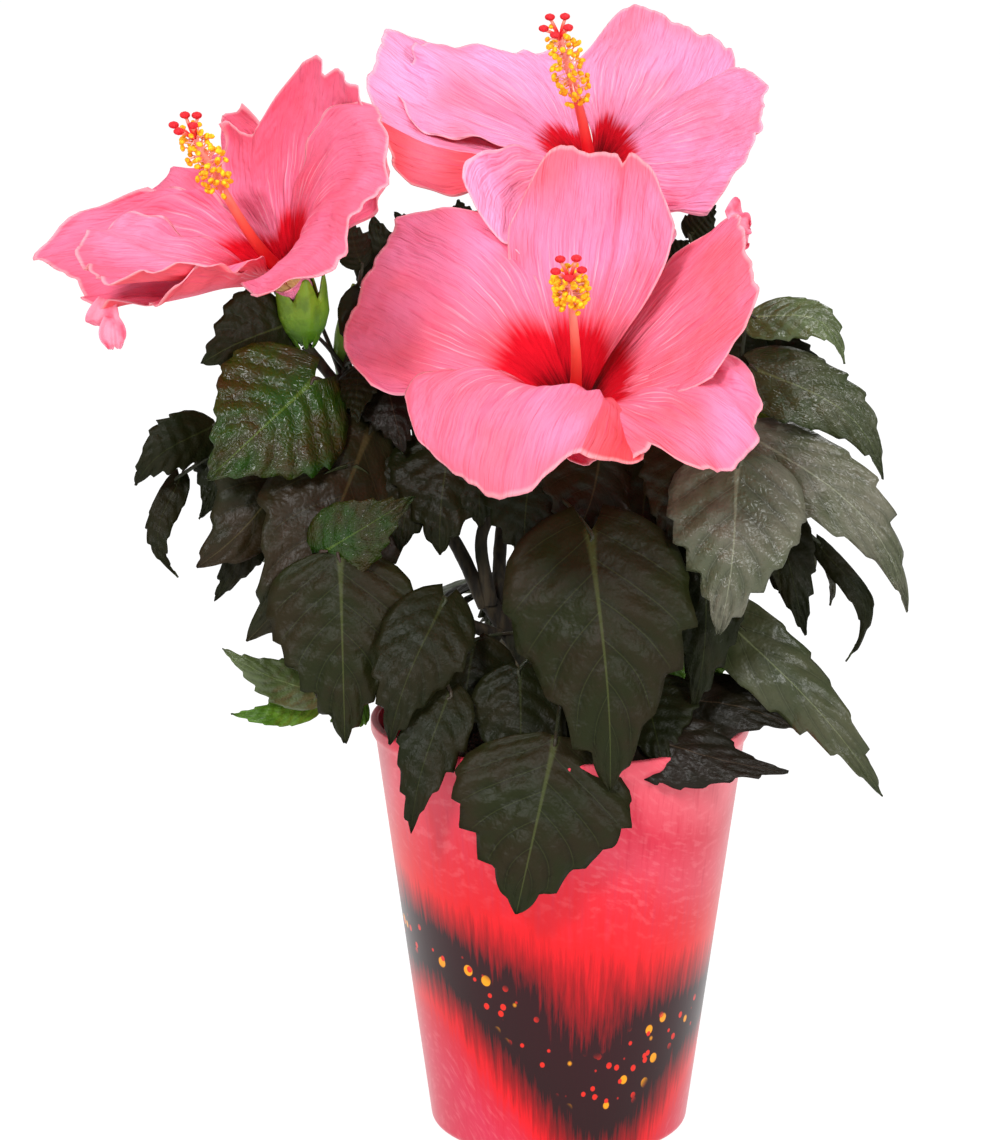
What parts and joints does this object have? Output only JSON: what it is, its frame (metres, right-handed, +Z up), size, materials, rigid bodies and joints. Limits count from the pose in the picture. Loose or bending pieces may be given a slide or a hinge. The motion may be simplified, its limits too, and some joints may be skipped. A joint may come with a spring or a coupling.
{
  "type": "potted hibiscus shrub",
  "caption": "Young hibiscus shrub in a tapered round pot: a short woody stem forks into thin boughs that carry drooping toothed leaves and large open pink blooms.",
  "frame": {"origin": "middle of the pot's flat underside, on the surface that it stands on", "axes": "+Z up along the pot's axis, -Y towards the plant's front where the blooms face, +X to the right seen from the front"},
  "size_m": [0.2955, 0.238, 0.3865],
  "materials": {
    "pot": "smooth, glossy, printed",
    "compost": "loose and crumbly",
    "stem": "thin bark with fine ridges",
    "petals": "thin, satin, finely veined",
    "column": "waxy, with powdery anthers",
    "calyx": "satin",
    "foliage": "leathery, half glossy"
  },
  "bodies": {
    "root": {"pot": "pot", "compost": "compost", "stem_main": "stem", "bough_left": "stem", "bough_front": "stem", "bough_top": "stem", "bough_right": "stem", "bough_low_right": "stem", "bough_low_left": "stem", "bough_rear": "stem", "bloom_front_column": "column", "bloom_front_petals": "petals", "bloom_front_calyx": "calyx", "bloom_left_column": "column", "bloom_left_petals": "petals", "bloom_left_calyx": "calyx", "bloom_top_column": "column", "bloom_top_petals": "petals", "bloom_top_calyx": "calyx", "foliage_front": "foliage", "foliage_front_low": "foliage", "foliage_left": "foliage", "foliage_upper_left": "foliage", "foliage_mid_left": "foliage", "foliage_low_left": "foliage", "foliage_upper_right": "foliage", "foliage_right": "foliage", "foliage_low_right": "foliage", "foliage_top": "foliage", "foliage_back_left": "foliage", "foliage_back_right": "foliage", "foliage_back_high": "foliage", "foliage_back_low": "foliage"}
  },
  "joints": []
}
